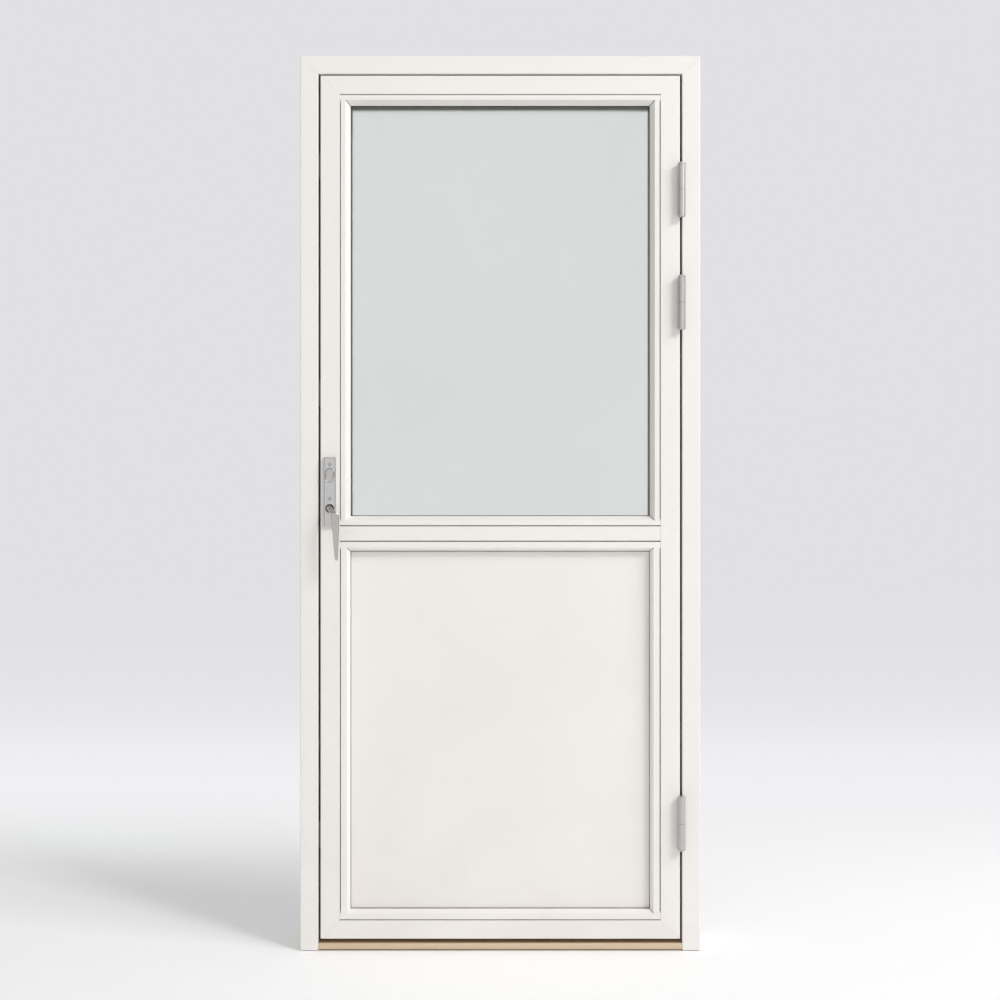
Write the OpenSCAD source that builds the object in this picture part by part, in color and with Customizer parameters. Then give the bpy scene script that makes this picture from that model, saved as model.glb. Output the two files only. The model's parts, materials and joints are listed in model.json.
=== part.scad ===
// Outward-opening balcony door with its frame: glass above, insulated panel below.
// The outer face looks towards -Y, the room side towards +Y, and +Z is up.
// The origin is the middle of the threshold's underside. All sizes are millimetres.

/* [Frame] */
// Outer width of the frame
frame_w = 890; // [780:1:1090]
// Outer height of the frame
frame_h = 1990; // [1880:1:2290]
// Depth of the frame, outer face to room face
frame_d = 115; // [112:1:160]
// Width of the frame's face seen from outside
frame_face = 40; // [36:1:60]
// Depth of timber rebate behind the leaf that holds the frame seal
seal_gap = 4; // [3:0.5:6]
// How far the stop laps over the leaf's timber edge
stop_lap = 7; // [6.5:0.5:7.5]
// Height of the threshold's front edge
threshold_front_h = 15; // [12:1:18]
// Rise of the threshold's top from front edge to stop
threshold_rise = 6; // [3:1:7]
// Fall of the threshold's stop towards the room
threshold_fall = 3; // [1:0.5:6]
// Diameter of the fixing holes through the jambs
fixing_d = 14; // [8:0.5:16]
// Distance of the end fixing holes from the frame's top and bottom
fixing_end = 160; // [120:5:220]
// Distance of the middle fixing holes from the end ones
fixing_step = 480; // [300:10:560]

/* [Leaf] */
// Thickness of the leaf, cladding included
leaf_d = 68; // [66:1:70]
// Width of the stiles seen from outside
leaf_face = 43; // [41:1:60]
// Height of the top and bottom rails seen from outside
rail_face = 41; // [39:1:60]
// Gap between leaf and frame at the sides
side_gap = 5; // [4.5:0.5:6]
// Gap between leaf and frame at the head
head_gap = 4; // [3:0.5:8]
// Height of the leaf's lower edge above the floor
leaf_rise = 25; // [24:1:32]
// Height of the middle rail's centre line
mid_rail_z = 927; // [800:1:1100]
// Height of the middle rail's face
mid_rail_face = 32; // [28:1:60]

/* [Cladding] */
// Depth of the aluminium cladding in front of the timber
clad_d = 12; // [11:0.5:14]
// Wall of the aluminium profiles
clad_t = 2; // [1.4:0.1:2.2]
// How far the cladding stands past the timber's edge into the gap
reveal = 3; // [3:0.1:3.4]
// Open joint at each mitre
mitre_gap = 0.15; // [0.1:0.05:0.6]
// Radius of the cladding's outer edges and of its edges beside the gap
clad_r = 2; // [1:0.25:2.5]
// Radius of the cladding's edges beside the beads
groove_r = 1; // [0.5:0.25:1.5]

/* [Glazing] */
// Shadow groove between cladding and bead
bead_groove = 2.5; // [2:0.1:3.5]
// Flat front of the glass bead
bead_flat = 10.5; // [8:0.5:16]
// Width of the glass bead's bevel
bead_bevel = 10; // [6:0.5:14]
// Depth of the glass bead
bead_d = 14; // [12:0.5:15]
// Thickness of the sealing strips at the glass
glass_seal_t = 3; // [2:0.5:4]
// How far the outer glass strip shows past the bead
glass_seal_show = 1.2; // [1:0.1:3]
// Thickness of each pane
pane_t = 4; // [3:1:6]
// Space between two panes
cavity = 12; // [10:1:13]
// Width of the spacer bar between two panes
spacer_w = 18.5; // [18:0.5:22]
// Clearance between infill edge and rebate
infill_clear = 5; // [4:0.5:7]

/* [Panel] */
// Flat front of the panel bead
panel_flat = 13.5; // [10:0.5:18]
// Width of the panel bead's bevel
panel_bevel = 6.5; // [4:0.5:10]
// Depth of the panel bead's bevel
panel_bead_d = 8; // [6:0.5:10]
// Depth of the panel bead's straight wall behind the bevel
panel_wall = 8; // [4:0.5:10]
// Thickness of the sealing strip at the panel
panel_seal_t = 2; // [1:0.5:3]
// How far the panel's sealing strip shows past the bead
panel_seal_show = 0.8; // [0.8:0.1:2]
// Thickness of the panel's boards
board_t = 6; // [4:1:10]

/* [Hinges] */
// Height of the lower hinge's centre above the leaf's lower edge
hinge_low = 259; // [150:1:320]
// Distance of the upper hinge's centre below the leaf's top
hinge_high = 256; // [120:1:320]
// Distance between the two upper hinges
hinge_pair = 250; // [180:1:320]
// Diameter of the hinge barrel
barrel_d = 17; // [15:0.5:18]
// Length of one hinge knuckle
knuckle_l = 60.5; // [50:0.5:75]
// Chamfer at the ends of the barrel
barrel_chamfer = 2.5; // [1:0.5:3]
// Distance of the hinge axis in front of the leaf's face
hinge_out = 10; // [9.5:0.5:14]
// Diameter of the hinge pin
pin_d = 10; // [8:0.5:11]
// Length of the pin in each knuckle
pin_l = 48; // [35:1:49]
// Thickness of the nylon washer between the knuckles
washer_t = 1; // [0.6:0.1:2]
// Thickness of the hinge arms
arm_t = 2; // [1.6:0.1:2.1]
// Depth of the hinge plate along the timber edge
hinge_plate_d = 30; // [24:1:40]

/* [Handle] */
// Height of the handle's turning axis
handle_z = 983; // [950:1:1050]
// Width of the outer handle plate
plate_w = 26; // [24:0.5:30]
// Thickness of the handle plates
plate_t = 9; // [7:0.5:12]
// Length of the handle plates
plate_l = 152; // [142:1:170]
// Height of the plates' centre above the turning axis
plate_up = 37; // [34:1:40]
// Width of the room-side handle plate
inner_plate_w = 21; // [20:0.5:21]
// Radius of the lever's hub
hub_r = 7.5; // [7:0.25:9]
// Distance of the grip in front of the handle plate
grip_out = 36; // [30:1:50]
// Sideways offset of the cranked grip
grip_side = 19.5; // [14:0.5:24]
// Length of the lever from its axis to the tip
lever_l = 114; // [95:1:125]
// Width across flats of the spindle
spindle_w = 8; // [7:0.5:9]

/* [Lock] */
// Depth of the lock's centre line behind the leaf's face
lock_depth = 42.5; // [41:0.5:44]
// Height of the lowest locking roller above the leaf's lower edge
roller_low = 235; // [200:1:320]
// Height of the middle locking roller above the handle's axis
roller_mid = 267; // [200:1:320]
// Distance of the upper locking roller below the leaf's top
roller_high = 186; // [180:1:300]
// Diameter of the locking rollers
roller_d = 9; // [8:0.5:10]
// How far the rollers stand out of the leaf's timber edge
roller_out = 5.5; // [5:0.1:5.6]
// Width of the lock's face plate
face_plate_w = 18; // [16:0.5:20]
// Thickness of the lock's face plate
face_plate_t = 2.5; // [2:0.25:3]
// Module of the rack and pinion
tooth_m = 1.25; // [1.25:0.05:1.3]
// Number of teeth on the pinion
tooth_n = 18; // [17:1:18]
// Free play between rack and pinion teeth
backlash = 0.3; // [0.2:0.05:0.5]

/* [Hidden] */
$fn = 64;
slack = 0.3;            // clearance between pieces that move past each other
run_fit = 0.05;         // radial clearance of a turning fit
joint_gap = 0.2;        // hairline where a rail meets a stile
past = 1;               // how far a cutting solid runs past the face it opens

// depth planes, from the outer face to the room
y_front = -frame_d / 2;
y_back = frame_d / 2;
y_timber = y_front + clad_d;
y_leaf = y_front + leaf_d;
y_stop = y_leaf + seal_gap;
y_glass = y_front + bead_d + glass_seal_t;
glass_t = 3 * pane_t + 2 * cavity;
y_lip = y_glass + glass_t + glass_seal_t;
y_panel = y_front + panel_bead_d + panel_wall + panel_seal_t;
y_panel_back = y_lip - glass_seal_t;

// the leaf, and the rebates of its two infills
leaf_x = frame_w / 2 - frame_face - side_gap;
leaf_z0 = leaf_rise;
leaf_z1 = frame_h - frame_face - head_gap;
timber_x = leaf_x - reveal;
rebate_x = leaf_x - leaf_face;
glass_z0 = mid_rail_z + mid_rail_face / 2;
glass_z1 = leaf_z1 - rail_face;
panel_z0 = leaf_z0 + rail_face;
panel_z1 = mid_rail_z - mid_rail_face / 2;
bead_w = bead_groove + bead_flat + bead_bevel;
panel_bead_w = bead_groove + panel_flat + panel_bevel;
lip_w = bead_w;
foot_d = 3;             // depth of the bead's foot that bears on the cladding

// the frame
jamb_x = frame_w / 2 - frame_face + reveal;         // jamb timber's face in the gap, beside the leaf
jamb_face_x = frame_w / 2 - frame_face;             // cladding's edge, which is the gap's edge
stop_x = timber_x - stop_lap;
head_timber_z = frame_h - frame_face + reveal;
stop_head_z = leaf_z1 - reveal - stop_lap;
stop_foot_z = leaf_z0 + reveal + stop_lap;

// the frame seal: a bulb with a barb pushed into a slot of the stop
bulb_w = 5;
barb_w = 3;
barb_l = 6;
seal_inset = stop_lap / 2;

// hinges
hinge_x = leaf_x + side_gap / 2;
hinge_y = y_front - hinge_out;
hinge_z = [leaf_z0 + hinge_low, leaf_z1 - hinge_high - hinge_pair, leaf_z1 - hinge_high];
hinge_screw_d = 5;
hinge_screw_count = 2;

// handle and lock
handle_x = -(leaf_x - leaf_face / 2);
plate_z = handle_z + plate_up;
screw_z = [handle_z + 21.5, handle_z + 97];
screw_d = 5;
screw_head_d = 8.5;
screw_head_t = 2;
screw_face_y = y_front - plate_t + 0.1;             // heads lie just below the plate's face
recess_l = 4.6;
recess_w = 0.9;
recess_d = 0.8;
recess_turn = 20;
cover_z = handle_z + 73;
cover_w = 21;
cover_l = 33;
cover_t = 3.4;
y_lock = y_front + lock_depth;
roller_z = [leaf_z0 + roller_low, handle_z + roller_mid, leaf_z1 - roller_high];
pinion_r = tooth_m * tooth_n / 2;
pinion_t = 8;
pinion_hub_r = 7;
pinion_hub_t = 3;
travel = pinion_r * PI / 2;
rod_w = 10;
rod_x = -timber_x + face_plate_t + slack;           // rod's side that faces the gap
rack_x = handle_x - pinion_r;                       // pitch line of the rack
rod_t = rack_x - 1.25 * tooth_m - rod_x;            // the rod's back is the rack's root
tooth_pitch = PI * tooth_m;
rack_over = 7;                                      // rack past the contact point at either end of its travel
rack_teeth_n = 2 * ceil((travel / 2 + rack_over) / tooth_pitch);
rack_up = round(travel / 2 / tooth_pitch) * tooth_pitch;
case_w = 20;
case_h = 76;
case_x1 = handle_x + pinion_r + 4;
face_plate_end = 90;                                // face plate's ends from the leaf's ends
groove_w = rod_w + 2 * slack;
rod_end = 130;
roller_stem_r = 2.5;
keep_w = 24;
keep_end = 16;
keep_out = 1.5;                                     // clear of the leaf's swinging edge

// colours
white = [0.93, 0.92, 0.90];
timber_white = [0.91, 0.90, 0.88];
oak = [0.80, 0.70, 0.55];
black = [0.13, 0.13, 0.13];
grey_metal = [0.70, 0.70, 0.70];
pane_colour = [0.80, 0.86, 0.84, 0.5];
foam = [0.85, 0.83, 0.70];

// A bar along X from x0 to x1, of a section drawn as (y, z)
module bar_x(x0, x1) {
    translate([x0, 0, 0]) rotate([90, 0, 90]) linear_extrude(x1 - x0) children();
}

// A bar along Z from z0 to z1, of a section drawn as (x, y)
module bar_z(z0, z1) {
    translate([0, 0, z0]) linear_extrude(z1 - z0) children();
}

// A sheet from y0 to y1, of an outline drawn as (x, z)
module sheet_y(y0, y1) {
    translate([0, y1, 0]) rotate([90, 0, 0]) linear_extrude(y1 - y0) children();
}

// A rectangle between two corners
module corners(a, b) {
    translate(a) square(b - a);
}

// A box between two corners
module block(a, b) {
    translate(a) cube(b - a);
}

// A rectangular ring between two rectangles: corners of the outer one, inset of the inner one
module ring(a, b, inset) {
    difference() {
        corners(a, b);
        corners(a + [inset, inset], b - [inset, inset]);
    }
}

// A rectangle of width w and length l with round corners of radius r, centred
module round_rect(w, l, r) {
    square([w - 2 * r, l], center = true);
    square([w, l - 2 * r], center = true);
    for (sx = [-1, 1], sz = [-1, 1])
        translate([sx * (w / 2 - r), sz * (l / 2 - r)]) circle(r);
}

// A cylinder along Y from y0 to y1 at (x, z)
module rod_y(x, z, r, y0, y1) {
    translate([x, y0, z]) rotate([-90, 0, 0]) cylinder(r = r, h = y1 - y0);
}

// A cylinder along X from x0 to x1 at (y, z)
module rod_x_dir(y, z, r, x0, x1) {
    translate([x0, y, z]) rotate([0, 90, 0]) cylinder(r = r, h = x1 - x0);
}

// The frame's timber

// Jamb section for the right-hand side: face beside the leaf, and the stop behind it
module jamb_section() {
    polygon([[frame_w / 2, y_timber], [jamb_x, y_timber], [jamb_x, y_stop],
        [stop_x, y_stop], [stop_x, y_back], [frame_w / 2, y_back]]);
}

// Heights of the fixing holes through each jamb
fixing_z = [fixing_end, fixing_end + fixing_step, frame_h - fixing_end - fixing_step, frame_h - fixing_end];
y_fixing = (y_stop + barb_l + y_back) / 2;

module jamb() {
    difference() {
        bar_z(0, frame_h) jamb_section();
        // the head is housed over the jamb's top
        bar_x(stop_x - past, frame_w / 2 + past) head_section(past);
        seal_slot();
        for (z = fixing_z)
            rod_x_dir(y_fixing, z, fixing_d / 2, stop_x - past, frame_w / 2 + past);
    }
}

module lock_jamb() {
    color(timber_white) mirror([1, 0, 0]) jamb();
}

module hinge_jamb() {
    color(timber_white) jamb();
}

// Head section as (y, z), run past the frame's top and faces where it cuts the jambs
module head_section(over = 0) {
    polygon([[y_timber - over, frame_h + over], [y_timber - over, head_timber_z],
        [y_stop, head_timber_z], [y_stop, stop_head_z],
        [y_back + over, stop_head_z], [y_back + over, frame_h + over]]);
}

module head() {
    color(timber_white) difference() {
        bar_x(-frame_w / 2, frame_w / 2) head_section();
        seal_slot();
    }
}

// Threshold section as (y, z): a bevelled front over a shadow gap, the stop, and a fall to the room
module threshold_section() {
    foot_in = 4;
    foot_h = 2;
    bevel_in = 1.5;
    bevel_h = threshold_front_h / 2;
    polygon([[y_front + foot_in, 0], [y_front + foot_in, foot_h], [y_front, foot_h],
        [y_front, threshold_front_h - bevel_h], [y_front + bevel_in, threshold_front_h],
        [y_stop, threshold_front_h + threshold_rise],
        [y_stop, stop_foot_z], [y_back, stop_foot_z - threshold_fall], [y_back, 0]]);
}

module threshold() {
    color(oak) difference() {
        bar_x(-jamb_x, jamb_x) threshold_section();
        // notched round the stops of both jambs, and at the front between their claddings
        for (side = [0, 1])
            mirror([side, 0, 0]) {
                block([stop_x, y_stop, -past], [frame_w, y_back + past, frame_h]);
                block([jamb_face_x - joint_gap, y_front - past, -past], [frame_w, y_timber, frame_h]);
            }
        seal_slot();
    }
}

// Seal ring round the stop: outline of the ring's middle line, given as its half width
module seal_ring(w, y0, y1) {
    sheet_y(y0, y1) ring(
        [-stop_x - seal_inset - w / 2, stop_foot_z - seal_inset - w / 2],
        [stop_x + seal_inset + w / 2, stop_head_z + seal_inset + w / 2], w);
}

// Slot of the seal's barb, cut into all four frame members
module seal_slot() {
    seal_ring(barb_w, y_stop - past, y_stop + barb_l);
}

module frame_seal() {
    color(black) {
        seal_ring(bulb_w, y_leaf + slack, y_stop);
        seal_ring(barb_w, y_stop, y_stop + barb_l);
    }
}

// Aluminium cladding

// What a round edge of radius r takes off a square corner at the origin
module edge_round(r) {
    difference() {
        corners([-past, -past], [r, r]);
        translate([r, r]) circle(r);
        corners([0, r], [past, r + past]);
        corners([r, 0], [r + past, past]);
    }
}

// Channel section: u runs in from the outer edge, v runs back from the face; r_in is the inner edge's radius
module clad_channel(face, edge_gap, r_in) {
    difference() {
        union() {
            corners([0, 0], [face, clad_t]);
            corners([0, 0], [clad_t, clad_d]);
            corners([face - clad_t, 0], [face, clad_d]);
            corners([edge_gap, 0], [edge_gap + clad_t, clad_d]);
        }
        edge_round(clad_r);
        translate([face, 0]) mirror([1, 0]) edge_round(r_in);
    }
}

clip_in = reveal + 2;   // clip leg of the channel, past the timber's edge
mitre_cut = mitre_gap / sqrt(2);

// Outline (x, z) of an upright piece, mitred at the ends that are asked for; run is the rail's height
module upright_mitre(x_out, x_in, z0, z1, low, high, run) {
    polygon([[x_out, z0 + low * mitre_cut], [x_in, z0 + low * (run + mitre_cut)],
        [x_in, z1 - high * (run + mitre_cut)], [x_out, z1 - high * mitre_cut]]);
}

// Outline (x, z) of a rail mitred at both ends; run is the upright's width
module rail_mitre(half, z_out, z_in, run) {
    polygon([[-half + mitre_cut, z_out], [half - mitre_cut, z_out],
        [half - run - mitre_cut, z_in], [-half + run + mitre_cut, z_in]]);
}

module frame_side_cladding() {
    intersection() {
        bar_z(0, frame_h) translate([frame_w / 2, y_front]) mirror([1, 0])
            clad_channel(frame_face, frame_face - reveal - clad_t - clip_in, clad_r);
        sheet_y(y_front - past, y_timber + past)
            upright_mitre(frame_w / 2, jamb_face_x, 0, frame_h, 0, 1, frame_face);
    }
}

module lock_jamb_cladding() {
    color(white) mirror([1, 0, 0]) frame_side_cladding();
}

module hinge_jamb_cladding() {
    color(white) frame_side_cladding();
}

module head_cladding() {
    color(white) intersection() {
        bar_x(-frame_w / 2, frame_w / 2) translate([y_front, frame_h]) rotate(-90)
            clad_channel(frame_face, frame_face - reveal - clad_t - clip_in, clad_r);
        sheet_y(y_front - past, y_timber + past)
            rail_mitre(frame_w / 2, frame_h, frame_h - frame_face, frame_face);
    }
}

// Cladding of the right-hand stile; the lock side is its mirror image
module stile_cladding() {
    intersection() {
        bar_z(leaf_z0, leaf_z1) translate([leaf_x, y_front]) mirror([1, 0])
            clad_channel(leaf_face, clip_in, groove_r);
        sheet_y(y_front - past, y_timber + past)
            upright_mitre(leaf_x, rebate_x, leaf_z0, leaf_z1, 1, 1, rail_face);
    }
}

module hinge_stile_cladding() {
    color(white) stile_cladding();
}

module lock_stile_cladding() {
    color(white) difference() {
        mirror([1, 0, 0]) stile_cladding();
        rod_y(handle_x, handle_z, hub_r + past, y_front - past, y_timber + past);
        for (z = screw_z)
            rod_y(handle_x, z, screw_d / 2 + slack, y_front - past, y_timber + past);
    }
}

// Rail cladding: z of its outer edge, and 1 where the rail lies above that edge
module rail_cladding(z_out, up) {
    dir = up ? 1 : -1;
    intersection() {
        bar_x(-leaf_x, leaf_x) translate([y_front, z_out]) scale([1, dir]) mirror([1, -1])
            clad_channel(rail_face, clip_in, groove_r);
        sheet_y(y_front - past, y_timber + past)
            rail_mitre(leaf_x, z_out, z_out + dir * rail_face, leaf_face);
    }
}

module top_rail_cladding() {
    color(white) rail_cladding(leaf_z1, false);
}

module bottom_rail_cladding() {
    color(white) rail_cladding(leaf_z0, true);
}

module middle_rail_cladding() {
    half = rebate_x - joint_gap;
    color(white) bar_x(-half, half) difference() {
        union() {
            corners([y_front, panel_z1], [y_front + clad_t, glass_z0]);
            for (z = [panel_z1, glass_z0 - clad_t])
                corners([y_front, z], [y_timber, z + clad_t]);
        }
        translate([y_front, panel_z1]) edge_round(groove_r);
        translate([y_front, glass_z0]) mirror([0, 1]) edge_round(groove_r);
    }
}

// The leaf's timber

// Right-hand stile section: full width at the front, with a lip behind the infills
module stile_section() {
    polygon([[timber_x, y_timber], [rebate_x, y_timber], [rebate_x, y_lip],
        [rebate_x - lip_w, y_lip], [rebate_x - lip_w, y_leaf], [timber_x, y_leaf]]);
}

timber_z0 = leaf_z0 + reveal;
timber_z1 = leaf_z1 - reveal;

module hinge_stile() {
    color(timber_white) bar_z(timber_z0, timber_z1) stile_section();
}

module lock_stile() {
    edge_bevel = 3;
    bevel_start = 12;
    color(timber_white) difference() {
        mirror([1, 0, 0]) bar_z(timber_z0, timber_z1) stile_section();
        // the closing edge is bevelled so that it clears the keeps as the leaf swings
        bar_z(timber_z0 - past, timber_z1 + past)
            polygon([[-timber_x - past, y_leaf - bevel_start], [-timber_x, y_leaf - bevel_start],
                [-timber_x + edge_bevel, y_leaf], [-timber_x + edge_bevel, y_leaf + past],
                [-timber_x - past, y_leaf + past]]);
        // seat of the face plate, groove of the rod and mortise of the lock case
        block([-timber_x - past, y_lock - face_plate_w / 2 - slack, leaf_z0 + face_plate_end - slack],
            [-timber_x + face_plate_t, y_lock + face_plate_w / 2 + slack, leaf_z1 - face_plate_end + slack]);
        block([-timber_x, y_lock - groove_w / 2, leaf_z0 + rod_end - travel - slack],
            [rod_x + rod_t + slack, y_lock + groove_w / 2, leaf_z1 - rod_end + slack]);
        block([-timber_x, y_lock - case_w / 2 - slack, handle_z - case_h / 2 - slack],
            [case_x1 + slack, y_lock + case_w / 2 + slack, handle_z + case_h / 2 + slack]);
        rod_y(handle_x, handle_z, hub_r + past, y_timber - past, y_leaf + past);
        for (z = screw_z)
            rod_y(handle_x, z, screw_d / 2 + slack, y_timber - past, y_leaf + past);
    }
}

// Rail between the stiles as (y, z): face from z_out to z_in, and a lip past z_in
module edge_rail_section(z_out, z_in, dir) {
    polygon([[y_timber, z_out], [y_timber, z_in], [y_lip, z_in],
        [y_lip, z_in + dir * lip_w], [y_leaf, z_in + dir * lip_w], [y_leaf, z_out]]);
}

// Rails reach the stiles' rebates, and their lips stop at the stiles' lips
module between_stiles() {
    half = rebate_x;
    lip = rebate_x - lip_w;
    intersection() {
        bar_x(-half, half) children();
        union() {
            block([-half, y_front, 0], [half, y_lip, frame_h]);
            block([-lip, y_front, 0], [lip, y_leaf, frame_h]);
        }
    }
}

module top_rail() {
    color(timber_white) between_stiles() edge_rail_section(timber_z1, glass_z1, -1);
}

module bottom_rail() {
    color(timber_white) between_stiles() edge_rail_section(timber_z0, panel_z0, 1);
}

module middle_rail() {
    color(timber_white) between_stiles() {
        corners([y_timber, panel_z1], [y_leaf, glass_z0]);
        corners([y_lip, panel_z1 - lip_w], [y_leaf, glass_z0 + lip_w]);
    }
}

// Sealed glass unit

glass_x = rebate_x - infill_clear;
glass_low = [-glass_x, glass_z0 + infill_clear];
glass_high = [glass_x, glass_z1 - infill_clear];

// Pane number 0, 1 or 2, counted from outside
module pane(i) {
    y = y_glass + i * (pane_t + cavity);
    color(pane_colour) sheet_y(y, y + pane_t) corners(glass_low, glass_high);
}

module outer_pane() {
    pane(0);
}

module centre_pane() {
    pane(1);
}

module inner_pane() {
    pane(2);
}

// Spacer frame in cavity 0 or 1, with its edge seal
module spacer(i) {
    y = y_glass + pane_t + i * (pane_t + cavity);
    color(black) sheet_y(y, y + cavity) ring(glass_low, glass_high, spacer_w);
}

module outer_spacer() {
    spacer(0);
}

module inner_spacer() {
    spacer(1);
}

// Sealing strip under the beads: from a little inside the rebate to past the bead's edge
module outer_glass_seal() {
    w = bead_w - infill_clear + glass_seal_show;
    color(black) sheet_y(y_front + bead_d, y_glass) ring(glass_low, glass_high, w);
}

module inner_glass_seal() {
    color(black) sheet_y(y_lip - glass_seal_t, y_lip)
        ring(glass_low, glass_high, lip_w - infill_clear);
}

// Setting blocks that carry the glass unit on the middle rail and wedge it at the sides
module glazing_blocks() {
    block_l = 80;
    block_in = 60;
    color(grey_metal) {
        for (x = [-glass_x + block_in, glass_x - block_in - block_l])
            block([x, y_glass, glass_z0], [x + block_l, y_glass + glass_t, glass_z0 + infill_clear]);
        for (x = [-rebate_x, glass_x], z = [glass_z0 + block_in, glass_z1 - block_in - block_l])
            block([x, y_glass, z], [x + infill_clear, y_glass + glass_t, z + block_l]);
        for (x = [-glass_x + block_in, glass_x - block_in - block_l])
            block([x, y_glass, panel_z0], [x + block_l, y_panel_back, panel_z0 + infill_clear]);
    }
}

// Beads

// Bead section: u from the cladding towards the infill, v back from the face. A straight wall may follow
// the bevel. A foot at the back bears on the rebate, in front of it lies the shadow groove.
module bead_outline(flat, bevel, d, wall) {
    edge = bead_groove + flat + bevel;
    back = d + wall;
    polygon(concat([[bead_groove, 0], [bead_groove + flat, 0], [edge, d]], wall > 0 ? [[edge, back]] : [],
        [[0, back], [0, back - foot_d], [bead_groove, back - foot_d]]));
}

// The same as an aluminium profile, open at the back
module bead_section(flat, bevel, d, wall = 0) {
    top_u = bead_groove + flat - clad_t / 2;
    low_u = top_u + bevel * (d - clad_t) / d - clad_t / 2;
    back = d + wall + past;
    difference() {
        bead_outline(flat, bevel, d, wall);
        polygon([[bead_groove + clad_t, clad_t], [top_u, clad_t], [low_u, d], [low_u, back],
            [bead_groove + clad_t, back]]);
    }
}

// Horizontal bead from stile to stile: z of the rail's edge, dir +1 when the bead goes up from it
module rail_bead(z, dir) {
    half = rebate_x - joint_gap;
    bar_x(-half, half) translate([y_front, z]) scale([1, dir]) mirror([1, -1, 0]) children();
}

// Upright bead on the right-hand side, coped over both horizontal beads
module side_bead(z0, z1) {
    difference() {
        bar_z(z0 + joint_gap, z1 - joint_gap) translate([rebate_x, y_front]) mirror([1, 0]) children(0);
        rail_bead(z0, 1) offset_up(joint_gap) children(1);
        rail_bead(z1, -1) offset_up(joint_gap) children(1);
    }
}

// A bead outline widened by a hairline towards the infill, closed down to the rail
module offset_up(gap) {
    children();
    translate([gap, 0]) children();
}

// Solid outline of a bead and of the groove behind it, used to cope the upright beads
module bead_cope(flat, bevel, d, wall = 0) {
    edge = bead_groove + flat + bevel;
    back = d + wall + past;
    polygon([[-past, -past], [bead_groove + flat - past * bevel / d, -past], [edge, d],
        [edge, back], [-past, back]]);
}

module glass_side_bead() {
    side_bead(glass_z0, glass_z1) {
        bead_section(bead_flat, bead_bevel, bead_d);
        bead_cope(bead_flat, bead_bevel, bead_d);
    }
}

module panel_side_bead() {
    side_bead(panel_z0, panel_z1) {
        bead_section(panel_flat, panel_bevel, panel_bead_d, panel_wall);
        bead_cope(panel_flat, panel_bevel, panel_bead_d, panel_wall);
    }
}

module top_glass_bead() {
    color(white) rail_bead(glass_z1, -1) bead_section(bead_flat, bead_bevel, bead_d);
}

module bottom_glass_bead() {
    color(white) rail_bead(glass_z0, 1) bead_section(bead_flat, bead_bevel, bead_d);
}

module hinge_side_glass_bead() {
    color(white) glass_side_bead();
}

module lock_side_glass_bead() {
    color(white) mirror([1, 0, 0]) glass_side_bead();
}

module top_panel_bead() {
    color(white) rail_bead(panel_z1, -1) bead_section(panel_flat, panel_bevel, panel_bead_d, panel_wall);
}

module bottom_panel_bead() {
    color(white) rail_bead(panel_z0, 1) bead_section(panel_flat, panel_bevel, panel_bead_d, panel_wall);
}

module hinge_side_panel_bead() {
    color(white) panel_side_bead();
}

module lock_side_panel_bead() {
    color(white) mirror([1, 0, 0]) panel_side_bead();
}

// Insulated panel

panel_low = [-glass_x, panel_z0 + infill_clear];
panel_high = [glass_x, panel_z1 - infill_clear];

module outer_panel_board() {
    color(white) sheet_y(y_panel, y_panel + board_t) corners(panel_low, panel_high);
}

module panel_insulation() {
    color(foam) sheet_y(y_panel + board_t, y_panel_back - board_t) corners(panel_low, panel_high);
}

module inner_panel_board() {
    color(timber_white) sheet_y(y_panel_back - board_t, y_panel_back) corners(panel_low, panel_high);
}

module outer_panel_seal() {
    color(black) sheet_y(y_panel - panel_seal_t, y_panel)
        ring(panel_low, panel_high, panel_bead_w - infill_clear + panel_seal_show);
}

module inner_panel_seal() {
    color(black) sheet_y(y_panel_back, y_lip) ring(panel_low, panel_high, lip_w - infill_clear);
}

// Hinges: the leaf's knuckle above, the frame's knuckle with the pin below

// Knuckle from its mating face at z = 0 down to its chamfered end, on the hinge axis
module knuckle_solid() {
    r = barrel_d / 2;
    cap_l = 5;
    line_w = 0.8;
    line_d = 0.6;
    translate([hinge_x, hinge_y, -knuckle_l]) {
        cylinder(r1 = r - barrel_chamfer, r2 = r, h = barrel_chamfer);
        translate([0, 0, barrel_chamfer]) cylinder(r = r, h = cap_l - barrel_chamfer);
        // a fine line between the end cap and the barrel
        translate([0, 0, cap_l]) cylinder(r = r - line_d, h = line_w);
        translate([0, 0, cap_l + line_w]) cylinder(r = r, h = knuckle_l - cap_l - line_w);
    }
}

// Cranked arm: through the gap beside the cladding, then along a timber edge.
// near is the arm's side next to the cladding, seat is the timber's face, dir points to the timber
module hinge_arm(near, seat, dir) {
    step = dir * arm_t;
    turn = y_timber + slack;
    corners_near = near + dir * -arm_t;
    polygon([[near, hinge_y], [near, turn], [seat, turn], [seat, turn + hinge_plate_d],
        [seat - step, turn + hinge_plate_d], [seat - step, turn + arm_t],
        [corners_near, turn + arm_t], [corners_near, hinge_y]]);
}

// Half a hinge hanging down from z = 0, with its pin bore and countersunk plate holes
module hinge_half(near, seat, dir, bore_r) {
    difference() {
        union() {
            knuckle_solid();
            bar_z(-knuckle_l + barrel_chamfer, 0) hinge_arm(near, seat, dir);
        }
        translate([hinge_x, hinge_y, -pin_l]) cylinder(r = bore_r, h = pin_l + past);
        for (i = [0 : hinge_screw_count - 1])
            rod_x_dir(y_timber + hinge_plate_d / 2 + arm_t, -knuckle_l * (i + 0.5) / hinge_screw_count,
                hinge_screw_d / 2, min(seat, near) - 2 * past - arm_t, max(seat, near) + 2 * past + arm_t);
    }
}

arm_inset = 0.2;        // arm's clearance to the cladding beside it

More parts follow.
